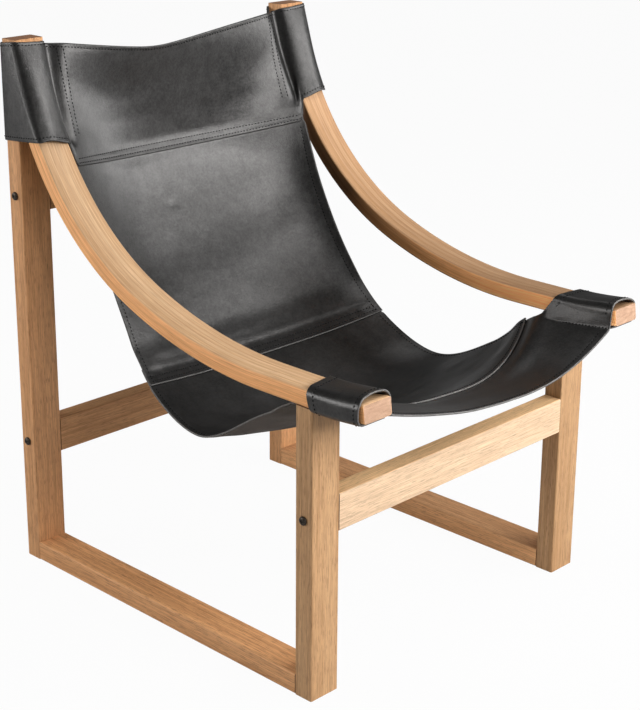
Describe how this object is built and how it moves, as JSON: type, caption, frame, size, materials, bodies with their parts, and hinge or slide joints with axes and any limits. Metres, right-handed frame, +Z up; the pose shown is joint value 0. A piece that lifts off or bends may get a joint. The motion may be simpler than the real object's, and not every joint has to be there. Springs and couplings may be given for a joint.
{
  "type": "sling lounge chair",
  "caption": "Low lounge chair with a bolted hardwood frame, bent wooden arms and a black leather sling hung from sleeves on the rear posts and loops on the arm tips.",
  "frame": {"origin": "middle of the chair's box at floor level", "axes": "+Z up, the sitter faces -Y, +X to the sitter's left"},
  "size_m": [0.66, 0.7998, 0.908],
  "materials": {
    "wood": "oiled, open grain",
    "leather": "satin saddle leather",
    "bolt": "dark bronze",
    "hidden_steel": "plain zinc",
    "dowel": "raw"
  },
  "bodies": {
    "root": {"arm_left": "wood", "arm_right": "wood", "arm_screw_lower_left": "hidden_steel", "arm_screw_lower_right": "hidden_steel", "arm_screw_upper_left": "hidden_steel", "arm_screw_upper_right": "hidden_steel", "barrel_nut_front_left": "hidden_steel", "barrel_nut_front_right": "hidden_steel", "barrel_nut_rear_high_left": "hidden_steel", "barrel_nut_rear_high_right": "hidden_steel", "barrel_nut_rear_low_left": "hidden_steel", "barrel_nut_rear_low_right": "hidden_steel", "bolt_front_left": "bolt", "bolt_front_right": "bolt", "bolt_rear_high_left": "bolt", "bolt_rear_high_right": "bolt", "bolt_rear_low_left": "bolt", "bolt_rear_low_right": "bolt", "dowel_arm_inner_left": "dowel", "dowel_arm_inner_right": "dowel", "dowel_arm_outer_left": "dowel", "dowel_arm_outer_right": "dowel", "dowel_front_left": "dowel", "dowel_front_right": "dowel", "dowel_rear_high_left": "dowel", "dowel_rear_high_right": "dowel", "dowel_rear_low_left": "dowel", "dowel_rear_low_right": "dowel", "dowel_runner_front_inner_left": "dowel", "dowel_runner_front_inner_right": "dowel", "dowel_runner_front_outer_left": "dowel", "dowel_runner_front_outer_right": "dowel", "dowel_runner_rear_inner_left": "dowel", "dowel_runner_rear_inner_right": "dowel", "dowel_runner_rear_outer_left": "dowel", "dowel_runner_rear_outer_right": "dowel", "floor_runner_left": "wood", "floor_runner_right": "wood", "front_leg_left": "wood", "front_leg_right": "wood", "front_stretcher": "wood", "leather_back": "leather", "leather_front_band": "leather", "leather_headrest": "leather", "leather_seat": "leather", "rear_lower_stretcher": "wood", "rear_post_left": "wood", "rear_post_right": "wood", "rear_upper_rail": "wood"}
  },
  "joints": []
}
